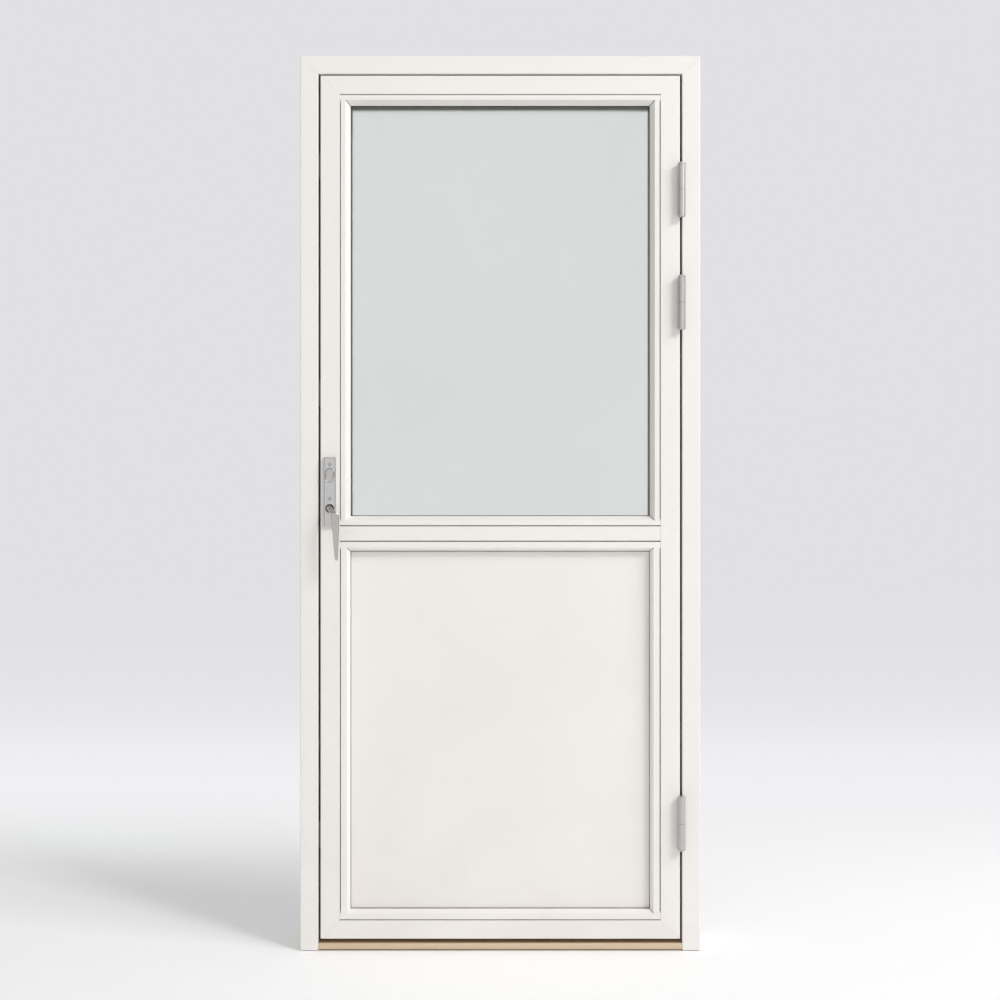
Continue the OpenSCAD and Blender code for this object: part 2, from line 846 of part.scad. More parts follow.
// The frame's half lies below the hinge's centre, the leaf's half is turned up above it
module frame_half(z) {
    color(grey_metal) translate([0, 0, z - washer_t / 2])
        hinge_half(jamb_face_x - arm_inset, jamb_x, 1, pin_d / 2);
}

module leaf_half(z) {
    color(grey_metal) translate([0, 0, z + washer_t / 2]) mirror([0, 0, 1])
        hinge_half(leaf_x + arm_inset, timber_x, -1, pin_d / 2 + run_fit);
}

module lower_hinge_frame_half() {
    frame_half(hinge_z[0]);
}

module middle_hinge_frame_half() {
    frame_half(hinge_z[1]);
}

module upper_hinge_frame_half() {
    frame_half(hinge_z[2]);
}

module lower_hinge_leaf_half() {
    leaf_half(hinge_z[0]);
}

module middle_hinge_leaf_half() {
    leaf_half(hinge_z[1]);
}

module upper_hinge_leaf_half() {
    leaf_half(hinge_z[2]);
}

module hinge_pins() {
    color(grey_metal) for (z = hinge_z)
        translate([hinge_x, hinge_y, z - washer_t / 2 - pin_l])
            cylinder(r = pin_d / 2, h = 2 * pin_l + washer_t - slack);
}

module hinge_washers() {
    color(white) for (z = hinge_z)
        translate([hinge_x, hinge_y, z - washer_t / 2]) difference() {
            cylinder(r = barrel_d / 2 - 0.5, h = washer_t - run_fit);
            translate([0, 0, -past]) cylinder(r = pin_d / 2 + run_fit, h = washer_t + 2 * past);
        }
}

// Espagnolette lock: rack and pinion in a case, a rod behind the face plate, rollers and keeps

// One flank of an involute tooth as polar points [radius, angle], base circle radius rb
function involute_angle(r, rb) = let(t = sqrt(max(0, pow(r / rb, 2) - 1))) t * 180 / PI - atan(t);
pressure = 20;
tooth_add = tooth_m;
tooth_ded = 1.25 * tooth_m;
flank_steps = 5;

// Pinion outline in its own plane, one tooth centred on the first axis
module pinion_outline() {
    rb = pinion_r * cos(pressure);
    root = pinion_r - tooth_ded;
    tip = pinion_r + tooth_add;
    start = max(rb, root);
    half = 90 / tooth_n - (backlash / 2) / pinion_r * 180 / PI / 2 + involute_angle(pinion_r, rb);
    flank = [for (i = [0 : flank_steps]) let(r = start + (tip - start) * i / flank_steps)
        [r, half - involute_angle(r, rb)]];
    polygon([for (k = [0 : tooth_n - 1], p = concat([[root, -half]],
        [for (q = flank) [q[0], -q[1]]],
        [for (i = [flank_steps : -1 : 0]) flank[i]], [[root, half]]))
        p[0] * [cos(360 * k / tooth_n + p[1]), sin(360 * k / tooth_n + p[1])]]);
}

// Rack teeth as (x, z): pitch line at x = 0, teeth towards +x, a space centred on z = 0
module rack_teeth(count) {
    thick = tooth_pitch / 2 - backlash / 2;
    for (k = [0 : count - 1]) {
        z = (k - count / 2 + 0.5) * tooth_pitch;
        polygon([[-tooth_ded - past, z - thick / 2 - tooth_ded * tan(pressure)],
            [-tooth_ded, z - thick / 2 - tooth_ded * tan(pressure)],
            [tooth_add, z - thick / 2 + tooth_add * tan(pressure)],
            [tooth_add, z + thick / 2 - tooth_add * tan(pressure)],
            [-tooth_ded, z + thick / 2 + tooth_ded * tan(pressure)],
            [-tooth_ded - past, z + thick / 2 + tooth_ded * tan(pressure)]]);
    }
}

// Spindle with the pinion keyed on it. The square bar joins both levers.
module handle_spindle() {
    color(grey_metal) {
        block([handle_x - spindle_w / 2, y_front - plate_t, handle_z - spindle_w / 2],
            [handle_x + spindle_w / 2, y_leaf + plate_t, handle_z + spindle_w / 2]);
        translate([handle_x, 0, handle_z]) {
            sheet_y(y_lock - pinion_t / 2, y_lock + pinion_t / 2) rotate(180) pinion_outline();
            rod_y(0, 0, pinion_hub_r, y_lock - pinion_t / 2 - pinion_hub_t,
                y_lock + pinion_t / 2 + pinion_hub_t);
        }
    }
}

// Rod in the stile's edge, with the rack beside the pinion and the stems of the rollers
module drive_rod() {
    color(grey_metal) {
        block([rod_x, y_lock - rod_w / 2, leaf_z0 + rod_end],
            [rod_x + rod_t, y_lock + rod_w / 2, leaf_z1 - rod_end]);
        sheet_y(y_lock - pinion_t / 2, y_lock + pinion_t / 2) translate([rack_x, handle_z + rack_up])
            rack_teeth(rack_teeth_n);
        for (z = roller_z)
            rod_x_dir(y_lock, z, roller_d / 2, -timber_x - roller_out, rod_x + past);
    }
}

// Lock case: an open-sided housing round the pinion, with bores for the hub and a plate screw
module lock_case() {
    wall_r = pinion_r + tooth_add + 1;
    inner_t = pinion_t / 2 + slack;
    x0 = rod_x + rod_t + slack;
    color(grey_metal) difference() {
        block([x0, y_lock - case_w / 2, handle_z - case_h / 2],
            [case_x1, y_lock + case_w / 2, handle_z + case_h / 2]);
        rod_y(handle_x, handle_z, wall_r, y_lock - inner_t, y_lock + inner_t);
        block([x0 - past, y_lock - inner_t, handle_z - case_h / 2 - past],
            [rack_x + tooth_add + slack, y_lock + inner_t, handle_z + case_h / 2 + past]);
        rod_y(handle_x, handle_z, pinion_hub_r + run_fit, y_lock - case_w, y_lock + case_w);
        rod_y(handle_x, screw_z[0], screw_d / 2 + slack, y_lock - case_w, y_lock + case_w);
    }
}

module lock_face_plate() {
    color(grey_metal) difference() {
        block([-timber_x, y_lock - face_plate_w / 2, leaf_z0 + face_plate_end],
            [-timber_x + face_plate_t, y_lock + face_plate_w / 2, leaf_z1 - face_plate_end]);
        for (z = roller_z) {
            w = roller_d / 2 + slack;
            block([-timber_x - past, y_lock - w, z - travel - w],
                [-timber_x + face_plate_t + past, y_lock + w, z + w]);
        }
    }
}

// Keep on the jamb: a slot that holds the roller, and an outlet towards the outside below it
module keep(z) {
    w = roller_d / 2 + slack;
    x1 = -timber_x - roller_out + 3;
    color(grey_metal) difference() {
        block([-jamb_x, y_lock - keep_w / 2, z - travel - w - keep_end],
            [x1, y_lock + keep_w / 2, z + w + keep_end]);
        block([-timber_x - roller_out - slack, y_lock - w, z - travel - w], [x1 + past, y_lock + w, z + w]);
        block([-timber_x - roller_out - slack, y_lock - keep_w, z - travel - w],
            [x1 + past, y_lock, z - travel + w]);
        for (s = [z + w + keep_end / 2, z - travel - w - keep_end / 2])
            rod_x_dir(y_lock, s, hinge_screw_d / 2, -jamb_x - past, x1 + past);
    }
}

module lower_keep() {
    keep(roller_z[0]);
}

module middle_keep() {
    keep(roller_z[1]);
}

module upper_keep() {
    keep(roller_z[2]);
}

// Handles

plate_edge = 1.8;
hub_ring_w = 2.2;       // ring round the neck, sunk into the outer plate down to the hub
hub_ring_d = 5.5;
head_fit = 0.15;

// Section of a handle plate over its length or width l as (l, y), with chamfered front edges
module plate_section(l) {
    polygon([[-l / 2, 0], [-l / 2, -plate_t + plate_edge], [-l / 2 + plate_edge, -plate_t],
        [l / 2 - plate_edge, -plate_t], [l / 2, -plate_t + plate_edge], [l / 2, 0]]);
}

// Handle plate from its seat at y = 0 towards -y, centred on the lever's axis in x
module plate_solid(w) {
    intersection() {
        bar_z(plate_z - plate_l / 2, plate_z + plate_l / 2) plate_section(w);
        bar_x(-w / 2, w / 2) translate([0, plate_z]) mirror([1, -1]) plate_section(plate_l);
    }
}

// Running bore of the lever's hub
module hub_bore() {
    rod_y(0, handle_z, hub_r + run_fit, -plate_t - past, past);
}

module outer_handle_plate() {
    color(grey_metal) translate([handle_x, y_front, 0]) difference() {
        plate_solid(plate_w);
        hub_bore();
        rod_y(0, handle_z, hub_r + hub_ring_w, -plate_t - past, -plate_t + hub_ring_d);
        for (z = screw_z) {
            rod_y(0, z, screw_d / 2 + slack, -plate_t - past, past);
            rod_y(0, z, screw_head_d / 2 + head_fit, -plate_t - past, -plate_t + screw_head_t);
        }
    }
}

module inner_handle_plate() {
    color(grey_metal) translate([handle_x, y_leaf, 0]) mirror([0, 1, 0]) difference() {
        plate_solid(inner_plate_w);
        hub_bore();
        for (z = screw_z)
            rod_y(0, z, screw_d / 2, -plate_t + 3, past);
    }
}

// Oval block along Z of length l: w0 wide at y0 and w1 wide at y1
module oval(w0, w1, l, y0, y1) {
    half = (l - max(w0, w1)) / 2;
    for (s = [-1, 1])
        translate([0, y0, s * half]) rotate([-90, 0, 0]) cylinder(r1 = w0 / 2, r2 = w1 / 2, h = y1 - y0);
    bar_z(-half, half) polygon([[-w0 / 2, y0], [w0 / 2, y0], [w1 / 2, y1], [-w1 / 2, y1]]);
}

// Blank cover over the cylinder's place: an oval collar with a chamfered rim and a sunk face
module cylinder_cover() {
    rim_slope = 1.8;
    rim_flat = 0.8;
    dish = 2;
    dish_slope = 0.8;
    front_w = cover_w - 2 * rim_slope;
    dish_w = front_w - 2 * rim_flat;
    color(grey_metal) translate([handle_x, y_front - plate_t, cover_z]) difference() {
        union() {
            oval(front_w, cover_w, cover_l, -cover_t, -cover_t + rim_slope);
            oval(cover_w, cover_w, cover_l, -cover_t + rim_slope, 0);
        }
        oval(dish_w, dish_w, cover_l - cover_w + dish_w, -cover_t - past, -cover_t);
        oval(dish_w, dish_w - 2 * dish_slope, cover_l - cover_w + dish_w, -cover_t, -cover_t + dish);
    }
}

// Screws from the outer plate to the room-side plate
module handle_plate_screws() {
    color(grey_metal) for (z = screw_z) {
        rod_y(handle_x, z, screw_d / 2, y_front - plate_t + screw_head_t, y_leaf + plate_t - 4);
        difference() {
            rod_y(handle_x, z, screw_head_d / 2, screw_face_y, y_front - plate_t + screw_head_t);
            // cross recess, turned a little as a hand leaves it
            translate([handle_x, screw_face_y, z]) rotate([0, recess_turn, 0])
                for (a = [0, 90])
                    rotate([0, a, 0]) translate([-recess_l / 2, -past, -recess_w / 2])
                        cube([recess_l, past + recess_d, recess_w]);
        }
    }
}

// Lever in its own frame: turning axis along y through the origin, plate's front face at y = 0,
// grip towards -y and down

// Outline (x, z) of the grip: a blade with a broad shoulder that tapers to its tip
module grip_outline() {
    top_z = -8.6;
    shoulder_z = -16;
    neck_side_w = 12.7;
    shoulder_w = 6;
    tip_w = 6.8;
    tip_flat = 2.7;
    tip_z = -lever_l;
    tip_bevel = 4;
    polygon([[grip_side - neck_side_w, top_z], [grip_side, top_z], [grip_side + shoulder_w, shoulder_z],
        [grip_side + tip_w / 2, tip_z + tip_bevel], [grip_side + tip_flat / 2, tip_z],
        [grip_side - tip_flat / 2, tip_z], [grip_side - tip_w / 2, tip_z + tip_bevel]]);
}

neck_l = 5;             // how far the neck stands straight out of the plate
neck_wall = 0.8;        // neck's wall over the spindle's corners
neck_r = spindle_w / sqrt(2) + neck_wall;

// The neck is cranked sideways from the hub into the top of the grip
module lever_body() {
    $fn = 32;
    grip_t = 8;
    grip_edge = 1.3;
    neck_end_r = grip_t / 2 - 0.2;
    neck_end = [grip_side - 6.5, -grip_out, -13];
    hull() {
        rod_y(0, 0, neck_r, -neck_l - past, -neck_l + past);
        translate(neck_end) sphere(neck_end_r);
    }
    hull() {
        sheet_y(-grip_out - grip_t / 2 + grip_edge, -grip_out + grip_t / 2 - grip_edge) grip_outline();
        sheet_y(-grip_out - grip_t / 2, -grip_out + grip_t / 2) offset(delta = -grip_edge) grip_outline();
    }
}

module lever() {
    sink = plate_t - 1;
    difference() {
        union() {
            // the hub turns in the plate's bore, and the neck stands on it
            rod_y(0, 0, hub_r, hub_ring_d, sink);
            rod_y(0, 0, neck_r, -neck_l, sink);
            lever_body();
        }
        block([-spindle_w / 2, -2, -spindle_w / 2], [spindle_w / 2, sink + past, spindle_w / 2]);
    }
}

module outer_lever() {
    color(grey_metal) translate([handle_x, y_front - plate_t, handle_z]) lever();
}

module inner_lever() {
    color(grey_metal) translate([handle_x, y_leaf + plate_t, handle_z]) mirror([0, 1, 0]) lever();
}

lock_jamb();
hinge_jamb();
head();
threshold();
lock_jamb_cladding();
hinge_jamb_cladding();
head_cladding();
frame_seal();
lower_hinge_frame_half();
middle_hinge_frame_half();
upper_hinge_frame_half();
hinge_pins();
hinge_washers();
lower_keep();
middle_keep();
upper_keep();
lock_stile();
hinge_stile();
top_rail();
middle_rail();
bottom_rail();
lock_stile_cladding();
hinge_stile_cladding();
top_rail_cladding();
middle_rail_cladding();
bottom_rail_cladding();
outer_pane();
centre_pane();
inner_pane();
outer_spacer();
inner_spacer();
outer_glass_seal();
inner_glass_seal();
glazing_blocks();
top_glass_bead();
bottom_glass_bead();
lock_side_glass_bead();
hinge_side_glass_bead();
outer_panel_board();
panel_insulation();
inner_panel_board();
outer_panel_seal();
inner_panel_seal();
top_panel_bead();
bottom_panel_bead();
lock_side_panel_bead();
hinge_side_panel_bead();
lower_hinge_leaf_half();
middle_hinge_leaf_half();
upper_hinge_leaf_half();
lock_case();
lock_face_plate();
outer_handle_plate();
inner_handle_plate();
cylinder_cover();
handle_plate_screws();
outer_lever();
inner_lever();
handle_spindle();
drive_rod();
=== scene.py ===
import bmesh
import bpy
import json
import math
from mathutils import Matrix, Vector


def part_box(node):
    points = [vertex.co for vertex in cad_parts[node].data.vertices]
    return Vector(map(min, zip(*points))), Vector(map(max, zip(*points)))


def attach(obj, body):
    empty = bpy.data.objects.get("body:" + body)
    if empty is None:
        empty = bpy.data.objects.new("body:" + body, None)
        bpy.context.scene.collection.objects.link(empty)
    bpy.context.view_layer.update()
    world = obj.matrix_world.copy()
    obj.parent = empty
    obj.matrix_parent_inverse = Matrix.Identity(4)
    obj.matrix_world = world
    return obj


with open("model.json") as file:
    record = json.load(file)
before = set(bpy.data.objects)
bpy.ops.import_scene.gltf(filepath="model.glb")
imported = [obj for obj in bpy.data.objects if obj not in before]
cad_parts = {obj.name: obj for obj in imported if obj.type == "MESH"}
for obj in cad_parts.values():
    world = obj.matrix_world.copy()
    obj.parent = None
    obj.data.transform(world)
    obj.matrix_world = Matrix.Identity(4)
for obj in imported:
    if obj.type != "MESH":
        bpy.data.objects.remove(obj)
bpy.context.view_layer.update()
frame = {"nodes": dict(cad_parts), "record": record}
nodes = frame["nodes"]


# Frame timber: two jambs and a head of laminated pine, planed, filled and sprayed white in the works.
# The coat is thin enough for the grain to show through as faint lengthwise ridges.

class Field:
    """A value or colour that changes over a surface: one output of a material's nodes."""

    def __init__(self, socket):
        self.socket = socket

    def node(self, kind, settings, inputs, output=0):
        """Adds a node of this kind beside this one: its settings first, then its inputs' values or links."""
        tree = self.socket.id_data
        made = tree.nodes.new(kind)
        for name, value in settings.items():
            setattr(made, name, value)
        for key, value in inputs.items():
            if isinstance(value, Field):
                tree.links.new(value.socket, made.inputs[key])
            else:
                made.inputs[key].default_value = value
        return Field(made.outputs[output])

    def maths(self, operation, a, b):
        """One Math node on two fields or numbers."""
        return self.node("ShaderNodeMath", {"operation": operation}, {0: a, 1: b})

    def __add__(self, other):
        return self.maths("ADD", self, other)

    __radd__ = __add__

    def __sub__(self, other):
        return self.maths("SUBTRACT", self, other)

    def __rsub__(self, other):
        return self.maths("SUBTRACT", other, self)

    def __mul__(self, other):
        return self.maths("MULTIPLY", self, other)

    __rmul__ = __mul__

    def noise(self, scale, detail=2.0, stretch=(1.0, 1.0, 1.0)):
        """Noise from 0 to 1 over this place, with so many lumps to the metre, drawn out along an axis."""
        place = self.node("ShaderNodeVectorMath", {"operation": "MULTIPLY"}, {0: self, 1: stretch})
        return self.node("ShaderNodeTexNoise", {}, {"Vector": place, "Scale": scale, "Detail": detail})

    def part(self, axis):
        """One coordinate of this place."""
        return self.node("ShaderNodeSeparateXYZ", {}, {0: self}, "XYZ".index(axis))

    def between(self, low, high):
        """0 below low, 1 above high, and smooth between."""
        return self.node("ShaderNodeMapRange", {"interpolation_type": "SMOOTHSTEP"},
                         {"Value": self, "From Min": low, "From Max": high})

    def blend(self, first, second):
        """The first colour where this is 0, the second where it is 1."""
        return self.node("ShaderNodeMix", {"data_type": "RGBA"}, {0: self, 6: first, 7: second}, 2)

    def bump(self, depth, strength=1.0):
        """A surface normal from this height, where a height of 1 stands out by depth in metres."""
        return self.node("ShaderNodeBump", {}, {"Height": self, "Distance": depth, "Strength": strength})


def srgb(red, green, blue):
    """A colour as a screen shows it, from 0 to 255, in the shader's own scale."""
    parts = [c / 255 for c in (red, green, blue)]
    return tuple(c / 12.92 if c <= 0.04045 else ((c + 0.055) / 1.055) ** 2.4 for c in parts) + (1.0,)


def finish(name, **constants):
    """A new material with its shader, and the place on the object in metres."""
    material = bpy.data.materials.new(name)
    material.use_nodes = True
    tree = material.node_tree
    shader = tree.nodes["Principled BSDF"]
    for socket, value in constants.items():
        shader.inputs[socket.replace("_", " ")].default_value = value
    place = Field(shader.outputs[0]).node("ShaderNodeTexCoord", {}, {}, "Object")
    return material, shader, place


def feed(shader, **fields):
    """Links fields to the shader's sockets."""
    for socket, field in fields.items():
        shader.id_data.links.new(field.socket, shader.inputs[socket.replace("_", " ")])


def coat(material, *names):
    """Gives these pieces the material."""
    for name in names:
        mesh = nodes[name].data
        mesh.materials.clear()
        mesh.materials.append(material)


def ease(width, *names):
    """Rounds the pieces' sharp edges a little, as a tool or a coat of paint leaves them."""
    for name in names:
        piece = nodes[name]
        piece.modifiers.new("joined", "WELD").merge_threshold = 1e-6
        flat = piece.modifiers.new("flat", "DECIMATE")
        flat.decimate_type = "DISSOLVE"
        flat.angle_limit = math.radians(0.2)
        bevel = piece.modifiers.new("eased", "BEVEL")
        bevel.width = width
        bevel.segments = 2
        bevel.limit_method = "ANGLE"
        bevel.angle_limit = math.radians(32)
        piece.modifiers.new("shaded", "WEIGHTED_NORMAL")


def painted_grain(name, along):
    """White paint over planed pine whose grain runs along an axis."""
    material, shader, place = finish(name, IOR=1.48)
    stretch = tuple(0.03 if axis == along else 1.0 for axis in "XYZ")
    grain = place.noise(420.0, 5.0, stretch)
    cloud = place.noise(5.0, 3.0)
    feed(shader,
         Base_Color=cloud.between(0.3, 0.7).blend(srgb(238, 234, 229), srgb(243, 240, 236)),
         Roughness=grain * 0.10 + 0.36,
         Normal=grain.bump(0.00012, 0.6))
    return material


upright_paint = painted_grain("painted_pine_upright", "Z")
level_paint = painted_grain("painted_pine_level", "X")
coat(upright_paint, "lock_jamb", "hinge_jamb")
coat(level_paint, "head")
ease(0.0012, "lock_jamb", "hinge_jamb", "head")


# Threshold: one bare oak board with a bevelled front, a weathered slope and a stop, finished with oil and
# open to view. Grain runs straight from jamb to jamb. The front is pale, and the slope behind it is painted
# dark as the shade under the leaf.

slope_front = -0.0535
bevel_back = -0.0560


def oak_board():
    """Oak finished with oil, with its grain from jamb to jamb, pale in front and painted darker on the slope
    as the shade under the leaf.
    """
    material, shader, place = finish("oiled_oak", IOR=1.46)
    broad = place.noise(5.0, 2.0, (0.4, 1.0, 1.0))
    grain = place.noise(170.0, 4.0, (0.012, 1.0, 1.0))
    pores = place.noise(900.0, 4.0, (0.02, 1.0, 1.0))
    tone = (grain * 0.65 + broad * 0.35).between(0.3, 0.7)
    shaded_slope_tone = tone.blend(srgb(168, 140, 108), srgb(198, 166, 132))
    pale = tone.blend(srgb(203, 182, 155), srgb(214, 195, 168))
    # Behind the slope's front edge the oak is painted darker, as the shade that falls under the leaf.
    surface = place.part("Y").between(slope_front, bevel_back).blend(shaded_slope_tone, pale)
    dark = pores.between(0.62, 0.72) * 0.35
    feed(shader,
         Base_Color=dark.blend(surface, srgb(128, 98, 66)),
         Roughness=pores * 0.2 + 0.45,
         Normal=(grain * 0.4 + pores * 0.6).bump(0.00015, 0.6))
    return material


coat(oak_board(), "threshold")
ease(0.0008, "threshold")


# Cladding and beads: extruded aluminium profiles, cut to mitres and powder coated off-white.
# The coat has a fine orange-peel skin, and a breath of dust lies low on the door.

dust_top = 0.55


def powder_coat():
    """Off-white powder coat, dusty below a height."""
    material, shader, place = finish("powder_coat", IOR=1.5)
    cloud = place.noise(3.0, 4.0)
    peel = place.noise(1600.0, 1.0)
    speck = place.noise(2600.0, 0.0)
    low = place.part("Z").between(dust_top, 0.0)
    dust = low * place.noise(9.0, 5.0).between(0.35, 0.75) * 0.35
    clean = cloud.between(0.3, 0.7).blend(srgb(242, 238, 234), srgb(244, 240, 236))
    dusty = dust.blend(clean, srgb(226, 220, 212))
    grit = speck.between(0.70, 0.78) * 0.10
    feed(shader,
         Base_Color=grit.blend(dusty, srgb(205, 200, 194)),
         Roughness=peel * 0.12 + cloud * 0.06 + 0.30,
         Normal=peel.bump(0.00005, 0.5))
    return material


white_coat = powder_coat()
claddings = ["lock_jamb_cladding", "hinge_jamb_cladding", "head_cladding", "lock_stile_cladding",
             "hinge_stile_cladding", "top_rail_cladding", "middle_rail_cladding", "bottom_rail_cladding"]
beads = [f"{side}_{field}_bead" for field in ("glass", "panel")
         for side in ("top", "bottom", "lock_side", "hinge_side")]
coat(white_coat, *claddings, *beads)
ease(0.0004, *beads)


# Seals: extruded rubber, black outside and pale on the room side. The frame seal is pushed into a slot
# of the stop with its barb, and the glazing strips lie between beads, glass and panel.

def rubber(name, fresh, bloomed):
    """Rubber with a dull skin, paler where it has bloomed."""
    material, shader, place = finish(name, IOR=1.5)
    skin = place.noise(1100.0, 3.0)
    bloom = place.noise(30.0, 4.0).between(0.45, 0.8)
    feed(shader,
         Base_Color=bloom.blend(fresh, bloomed),
         Roughness=skin * 0.2 + 0.55,
         Normal=skin.bump(0.00008, 0.5))
    return material


seal_rubber = rubber("seal_rubber", srgb(34, 32, 30), srgb(52, 50, 47))
pale_rubber = rubber("pale_rubber", srgb(224, 226, 225), srgb(212, 213, 211))
outer_seals = ["frame_seal", "outer_glass_seal", "outer_panel_seal"]
inner_seals = ["inner_glass_seal", "inner_panel_seal"]
coat(seal_rubber, *outer_seals)
coat(pale_rubber, *inner_seals)
ease(0.0005, *outer_seals, *inner_seals)


def made_piece(name, mesh, material):
    """A new object from a mesh that is ready."""
    data = bpy.data.meshes.new(name)
    mesh.to_mesh(data)
    mesh.free()
    data.materials.append(material)
    piece = bpy.data.objects.new(name, data)
    bpy.context.collection.objects.link(piece)
    return piece


def rubber_strips(name, runs):
    """One piece of closed strips on the leaf; each run is a section's points at its two ends."""
    mesh = bmesh.new()
    for ends in runs:
        first, last = [[mesh.verts.new(point) for point in end] for end in ends]
        for i in range(len(first)):
            j = (i + 1) % len(first)
            mesh.faces.new((first[i], first[j], last[j], last[i]))
        mesh.faces.new(first)
        mesh.faces.new(list(reversed(last)))
    bmesh.ops.recalc_face_normals(mesh, faces=mesh.faces)
    strip = made_piece(name, mesh, seal_rubber)
    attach(strip, "leaf")


# Dark strips line three corner joints of each field's beads as painted shade, where the joint gap falls in
# shadow; the fourth corner is lit and has none.
# A bead's front is flat for flat_w, then falls by bevel_d over bevel_w.
joint_shade_w = 0.0009
joint_shade_sink = 0.0003
hollow = 0.35
bead_fronts = {"glass": (0.0130, 0.0100, 0.014), "panel": (0.0160, 0.0065, 0.008)}
shade_joints = (("lock_side", "top"), ("hinge_side", "top"), ("hinge_side", "bottom"))
joint_runs = []
for field, (flat_w, bevel_w, bevel_d) in bead_fronts.items():
    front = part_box(f"top_{field}_bead")[0][1]
    for side, rail in shade_joints:
        across, outer_x = (-1, 0) if side == "lock_side" else (1, 1)
        up, outer_z = (1, 1) if rail == "top" else (-1, 0)
        edge_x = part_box(f"{side}_{field}_bead")[outer_x][0]
        edge_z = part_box(f"{rail}_{field}_bead")[outer_z][2]
        run = []
        for inset, depth in ((flat_w, 0.0), (flat_w + bevel_w, bevel_d)):
            crease = Vector((edge_x - across * inset, front + depth, edge_z - up * inset))
            to_side = Vector((-across * joint_shade_w, 0.0, 0.0))
            to_rail = Vector((0.0, 0.0, -up * joint_shade_w))
            root = crease + Vector((across, 1.0, up)) * joint_shade_sink
            run.append((root, crease + to_side, crease + (to_side + to_rail) * hollow, crease + to_rail))
        joint_runs.append(run)
rubber_strips("bead_joint_shade", joint_runs)

# The dark lip of the panel's strip hangs down past the edge of the top bead, as painted shade along the top
# of the panel.
panel_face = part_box("outer_panel_board")[0][1]
bead_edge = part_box("top_panel_bead")[0][2]
lip_end_gap = 0.0009
lip_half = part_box("hinge_side_panel_bead")[0][0] - lip_end_gap
lip_section = ((0.0, -0.0005), (-0.0016, -0.0005), (-0.0018, -0.0010), (-0.0014, -0.0019), (0.0, -0.0021))
lip_ends = [[(x, panel_face + out, bead_edge + drop) for out, drop in lip_section]
            for x in (-lip_half, lip_half)]
rubber_strips("panel_top_shade_lip", [lip_ends])


# Hinges: turned steel barrels with cranked arms that pass through the gap, satin nickel plated.
# Each half is fixed to a timber edge with two countersunk screws; a nylon washer parts the knuckles.

def satin_metal(name, colour, along, rough, metallic=1.0, shade_mask=None):
    """Plated metal with a fine satin grain along an axis, and duller spots where hands or weather reach.

    The optional mask is a field that is 1 where the metal is painted dark and dull as the shade deep in the
    bore round the spindle.
    """
    material, shader, place = finish(name, Metallic=metallic)
    stretch = tuple(0.02 if axis == along else 1.0 for axis in "XYZ")
    lines = place.noise(2600.0, 3.0, stretch)
    stain = place.noise(45.0, 5.0).between(0.45, 0.75)
    dark = tuple(c * 0.86 for c in colour[:3]) + (1.0,)
    tone = (lines * 0.6 + stain * 0.4).blend(colour, dark)
    # Where the mask is 1, the metal is painted dark and not metallic, as the shade in the bore.
    if shade_mask:
        in_shade = shade_mask(place)
        tone = in_shade.blend(tone, srgb(46, 45, 44))
        feed(shader, Metallic=1 - in_shade)
    feed(shader,
         Base_Color=tone,
         Roughness=lines * 0.14 + stain * 0.08 + rough,
         Normal=lines.bump(0.00002, 0.5))
    return material


hinge_metal = satin_metal("satin_nickel", srgb(197, 196, 194), "Z", 0.28, 0.75)
hinge_places = ("lower", "middle", "upper")
hinge_halves = [f"{place}_hinge_{half}_half" for place in hinge_places for half in ("frame", "leaf")]
coat(hinge_metal, *hinge_halves, "hinge_pins")
ease(0.0004, *hinge_halves)


def moulded(name, colour):
    """Moulded plastic with a faint spark-eroded skin."""
    material, shader, place = finish(name, IOR=1.5)
    skin = place.noise(1500.0, 2.0)
    cloud = place.noise(25.0, 3.0)
    dark = tuple(c * 0.9 for c in colour[:3]) + (1.0,)
    feed(shader,
         Base_Color=cloud.between(0.35, 0.65).blend(colour, dark),
         Roughness=skin * 0.15 + 0.4,
         Normal=skin.bump(0.00005, 0.4))
    return material


coat(moulded("nylon", srgb(118, 116, 112)), "hinge_washers")

screw_steel = satin_metal("screw_steel", srgb(178, 177, 174), "Z", 0.28)


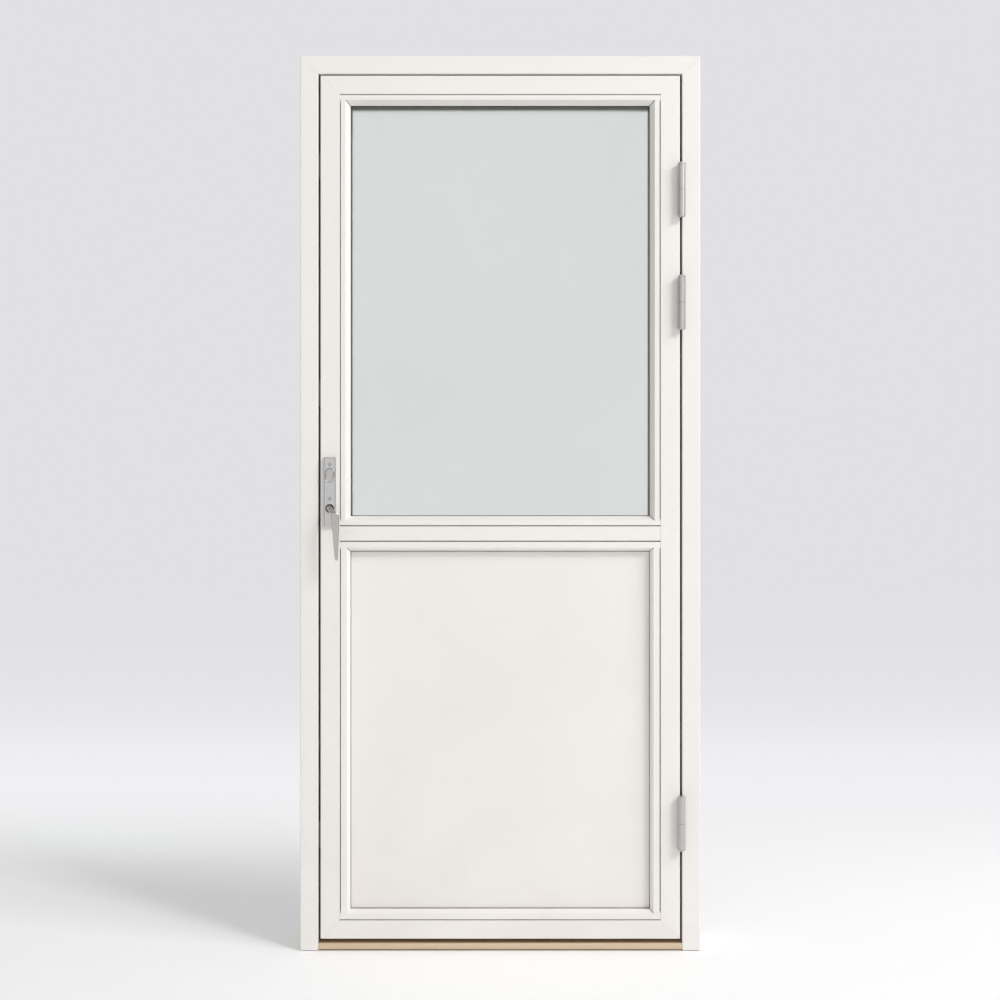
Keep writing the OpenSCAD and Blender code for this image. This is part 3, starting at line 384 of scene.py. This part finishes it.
def countersunk_screw(name, centre, outward, radius, turn, body):
    """A countersunk head with a cross recess, its face just below the plate that it holds."""
    mesh = bmesh.new()
    rim_count = 28
    arm = radius * 0.62
    half = radius * 0.13
    crown_h = radius * 0.04
    crown_share = 0.93
    recess_d = radius * 0.30
    recess_share = 0.8
    head_d = radius * 0.42
    foot_share = 0.62
    rim = [mesh.verts.new((radius * math.cos(a), radius * math.sin(a), 0.0))
           for a in (2 * math.pi * i / rim_count for i in range(rim_count))]
    crown = [mesh.verts.new((v.co.x * crown_share, v.co.y * crown_share, crown_h)) for v in rim]
    foot = [mesh.verts.new((v.co.x * foot_share, v.co.y * foot_share, -head_d)) for v in rim]
    quarter = [(arm, -half), (arm, half), (half, half)]
    outline = []
    for k in range(4):
        c = round(math.cos(k * math.pi / 2))
        s = round(math.sin(k * math.pi / 2))
        outline += [(c * x - s * y, s * x + c * y) for x, y in quarter]
    mouth = [mesh.verts.new((x, y, crown_h)) for x, y in outline]
    floor = [mesh.verts.new((x * recess_share, y * recess_share, -recess_d)) for x, y in outline]

    def wall(upper, lower):
        for i in range(len(upper)):
            j = (i + 1) % len(upper)
            mesh.faces.new((upper[i], upper[j], lower[j], lower[i]))

    wall(crown, rim)
    wall(rim, foot)
    wall(floor, mouth)
    mesh.faces.new(list(reversed(foot)))
    mesh.faces.new(floor)
    pairs = [pair for ring in (crown, mouth) for pair in zip(ring, ring[1:] + ring[:1])]
    edges = [mesh.edges.get(pair) or mesh.edges.new(pair) for pair in pairs]
    bmesh.ops.triangle_fill(mesh, use_beauty=True, edges=edges, normal=(0, 0, 1))
    bmesh.ops.recalc_face_normals(mesh, faces=mesh.faces)
    spin = Matrix.Rotation(turn, 4, "Z")
    aim = Vector(outward).to_track_quat("Z", "Y").to_matrix().to_4x4()
    mesh.transform(Matrix.Translation(centre) @ aim @ spin)
    screw = made_piece(name, mesh, screw_steel)
    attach(screw, body)


screw_r = 0.0025
screw_sink = 0.0001
hinge_arm_t = 0.002
hinge_screw_y = -0.0285
jamb_face = 0.408 - hinge_arm_t
stile_face = 0.397 + hinge_arm_t
for body, face, side in (("frame", jamb_face, -1), ("leaf", stile_face, 1)):
    for row, place in enumerate(hinge_places):
        low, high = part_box(f"{place}_hinge_{body}_half")
        tall = high[2] - low[2]
        start = high[2] if body == "frame" else low[2]
        for i in range(2):
            centre = (face - side * screw_sink, hinge_screw_y, start + side * tall * (i + 0.5) / 2)
            turn = 0.5 + 1.3 * row + 0.8 * i
            countersunk_screw(f"{place}_hinge_{body}_screw_{i + 1}", centre, (side, 0, 0), screw_r, turn,
                              body)


# Keeps and lock: zinc-plated steel. Keeps are screwed to the jamb; the face plate lies flush in the
# lock stile's edge and hides the rod, whose rollers run in the keeps, and the case with the pinion.

lock_steel = satin_metal("zinc_plate", srgb(198, 197, 192), "Z", 0.30)
keeps = ["lower_keep", "middle_keep", "upper_keep"]
coat(lock_steel, *keeps, "lock_face_plate", "lock_case", "drive_rod", "handle_spindle")
ease(0.0004, *keeps, "lock_face_plate")
keep_screw_y = -0.015
keep_screw_inset = 0.008
for row, keep in enumerate(keeps):
    low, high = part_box(keep)
    for i, z in enumerate((low[2] + keep_screw_inset, high[2] - keep_screw_inset)):
        centre = (high[0] - screw_sink, keep_screw_y, z)
        turn = 0.9 * row + 1.7 * i
        countersunk_screw(f"{keep}_screw_{i + 1}", centre, (1, 0, 0), screw_r, turn, "frame")


# Leaf timber: stiles run from top to bottom and the rails are tenoned between them, painted like the frame.
# A lip at the back of each member carries the glass and the panel from the room side.

coat(upright_paint, "lock_stile", "hinge_stile")
coat(level_paint, "top_rail", "middle_rail", "bottom_rail")
ease(0.0012, "hinge_stile", "top_rail", "middle_rail", "bottom_rail")


# Glass unit: three clear float panes with black spacer frames between them, set on plastic blocks.
# The panes are faintly green, as float glass is, and let the studio show through.

def show_instead(shader, other, share):
    """Shows another shader in place of a material's own, by a share from 0 to 1."""
    tree = shader.id_data
    mix = share.node("ShaderNodeMixShader", {}, {0: share, 1: Field(shader.outputs[0]), 2: other})
    tree.links.new(mix.socket, tree.nodes["Material Output"].inputs["Surface"])


def float_glass():
    """Clear glass, which soft light and shadow rays pass straight through."""
    material, shader, place = finish("float_glass", Roughness=0.0, IOR=1.45, Transmission_Weight=1.0)
    green = (0.955, 0.967, 0.955, 1.0)
    pale_green = (0.965, 0.975, 0.965, 1.0)
    feed(shader, Base_Color=place.noise(2.2, 2.0).between(0.3, 0.7).blend(green, pale_green))
    clear = place.node("ShaderNodeBsdfTransparent", {}, {"Color": (0.93, 0.96, 0.945, 1.0)})
    shadow = place.node("ShaderNodeLightPath", {}, {}, "Is Shadow Ray")
    soft = place.node("ShaderNodeLightPath", {}, {}, "Is Diffuse Ray")
    show_instead(shader, clear, shadow + soft)
    return material


coat(float_glass(), "outer_pane", "centre_pane", "inner_pane")
coat(moulded("spacer_black", srgb(38, 36, 34)), "outer_spacer", "inner_spacer")
coat(moulded("block_plastic", srgb(92, 94, 98)), "glazing_blocks")


# Panel: two smooth boards glued to an insulating core and painted like the timber.
# It stands on blocks in the leaf's lower field and is held by beads like the glass.

panel_dust_top = 0.45
panel_dust_full = 0.05


def panel_paint():
    """Sprayed white paint, a little wavy, dusty below a height."""
    material, shader, place = finish("panel_paint", IOR=1.5)
    cloud = place.noise(2.5, 4.0)
    skin = place.noise(1300.0, 2.0)
    wave = place.noise(18.0, 2.0)
    low = place.part("Z").between(panel_dust_top, panel_dust_full)
    dust = low * place.noise(8.0, 5.0).between(0.4, 0.8) * 0.3
    clean = cloud.between(0.3, 0.7).blend(srgb(239, 235, 231), srgb(243, 239, 235))
    feed(shader,
         Base_Color=dust.blend(clean, srgb(226, 220, 212)),
         Roughness=skin * 0.12 + cloud * 0.08 + 0.34,
         Normal=(skin * 0.15 + wave * 0.85).bump(0.00035, 0.25))
    return material


coat(panel_paint(), "outer_panel_board", "inner_panel_board")
coat(moulded("foam_core", srgb(222, 214, 178)), "panel_insulation")


# Handle: two cast plates bolted through the stile, and a cranked lever on each side of one square spindle.
# All of it is plated and brushed, with a cover over the cylinder's place, and the levers are a little duller.

spindle = next(j["pos_m"] for j in frame["record"]["behaviour"]["joints"] if j["name"] == "handle_turn")
# The dark ring round the spindle inside the plates is painted shade in the bore.
bore_shade_r = 0.0101
bore_shade_blur = 0.0002
bore_shade_top = 0.0004
bore_shade_full = 0.0012
outer_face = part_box("outer_handle_plate")[0][1]
inner_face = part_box("inner_handle_plate")[1][1]


def bore_shade(place):
    """1 inside the plates round the spindle, where the metal is painted dark as the shade in the bore."""
    across = place.part("X") - spindle[0]
    up = place.part("Z") - spindle[2]
    near = (across * across + up * up).between(bore_shade_r ** 2, (bore_shade_r - bore_shade_blur) ** 2)
    depth = place.part("Y")
    below_outer = depth.between(outer_face + bore_shade_top, outer_face + bore_shade_full)
    below_inner = depth.between(inner_face - bore_shade_top, inner_face - bore_shade_full)
    return near * below_outer * below_inner


plate_metal = satin_metal("brushed_plate", srgb(206, 206, 206), "Z", 0.22, shade_mask=bore_shade)
lever_metal = satin_metal("brushed_lever", srgb(194, 192, 188), "Z", 0.26, shade_mask=bore_shade)
coat(plate_metal, "outer_handle_plate", "inner_handle_plate")
coat(satin_metal("brushed_cover", srgb(198, 196, 196), "Z", 0.18), "cylinder_cover")
coat(satin_metal("plate_screws", srgb(180, 180, 181), "X", 0.20), "handle_plate_screws")
coat(lever_metal, "outer_lever", "inner_lever")
ease(0.0003, "outer_handle_plate", "inner_handle_plate", "outer_lever", "inner_lever")


# Studio: a pale seamless floor that curves up into a backdrop, soft all-round light, and two square lamps
# high on the right in front of the door.

def seen_directly(field):
    """1 for what the camera sees straight, in metal or through glass, and 0 for what only lights the door."""
    camera_ray, mirrored, through = [field.node("ShaderNodeLightPath", {}, {}, f"Is {kind} Ray")
                                     for kind in ("Camera", "Glossy", "Transmission")]
    return field.maths("MAXIMUM", camera_ray, field.maths("MAXIMUM", mirrored, through))


def sweep():
    """Paper that lies under the door and turns up behind it; seen straight it glows with a tone painted paler
    near and greyer far back as light falloff, and keeps the door's shadow only where it is near.
    """
    mesh = bmesh.new()
    wide = 14.0
    near = -9.0
    turn = 3.0
    radius = 2.5
    top = 9.0
    steps = 24
    floor_z = -0.0016
    line = [(near, floor_z), (turn, floor_z)]
    line += [(turn + radius * math.sin(a), floor_z + radius - radius * math.cos(a))
             for a in (math.pi / 2 * i / steps for i in range(1, steps + 1))]
    line.append((turn + radius, top))
    rows = [[mesh.verts.new((x, y, z)) for x in (-wide, wide)] for y, z in line]
    for a, b in zip(rows, rows[1:]):
        mesh.faces.new((a[0], a[1], b[1], b[0])).smooth = True
    material, shader, place = finish("sweep_paper", Roughness=0.9, Specular_IOR_Level=0.1)
    depth = place.part("Y")
    further = depth.between(0.3, 1.7)
    # The paper's tone is painted light falloff: pale near the door and greyer far back.
    near_tone = further.blend(srgb(253, 253, 253), srgb(240, 240, 242))
    tone = depth.between(1.7, 4.6).blend(near_tone, srgb(225, 224, 227))
    feed(shader, Base_Color=tone)
    painted_glow = place.node("ShaderNodeEmission", {}, {"Color": tone})
    # Seen straight, the paper glows with that tone, more the further back it lies.
    show_instead(shader, painted_glow, (further * 0.95 + 0.05) * seen_directly(place))
    floor = made_piece("sweep", mesh, material)


sweep()

world = bpy.data.worlds.new("studio")
bpy.context.scene.world = world
world.use_nodes = True
room = world.node_tree.nodes["Background"]
room.inputs["Color"].default_value = (1.0, 1.0, 1.0, 1.0)
look = Field(room.outputs[0]).node("ShaderNodeTexCoord", {}, {}, "Generated")
room_light = look.part("Z").between(-0.1, 1.0) * 0.17 + 0.45
room_seen = look.part("Y").between(0.0, -0.95) * 0.62 + 0.28
strength = seen_directly(look) * (room_seen - room_light) + room_light
world.node_tree.links.new(strength.socket, room.inputs["Strength"])


def softbox(name, energy, size, away, distance):
    """A square lamp that looks at the middle of the door from a direction and a distance."""
    lamp = bpy.data.lights.new(name, "AREA")
    lamp.energy = energy
    lamp.size = size
    holder = bpy.data.objects.new(name, lamp)
    middle = Vector((0.0, 0.0, 1.0))
    holder.location = middle + Vector(away).normalized() * distance
    holder.rotation_euler = (middle - holder.location).to_track_quat("-Z", "Y").to_euler()
    bpy.context.collection.objects.link(holder)


softbox("key", 505.0, 2.25, (1.1, -0.97, 1.1), 12.0)
softbox("side", 104.0, 1.8, (0.85, -0.38, 0.6), 6.5)

# The camera stands straight in front of the door, at half its height.
door_front = -0.0575
camera_away = 3.09
camera_side = -0.0005
camera_height = 1.0016
lens = bpy.data.cameras.new("camera")
lens.lens = 50.0
lens.sensor_width = 36.0
camera = bpy.data.objects.new("camera", lens)
camera.location = (camera_side, door_front - camera_away, camera_height)
camera.rotation_euler = (math.radians(90), 0.0, 0.0)
bpy.context.collection.objects.link(camera)
bpy.context.scene.camera = camera
bpy.context.scene.view_settings.view_transform = "Standard"
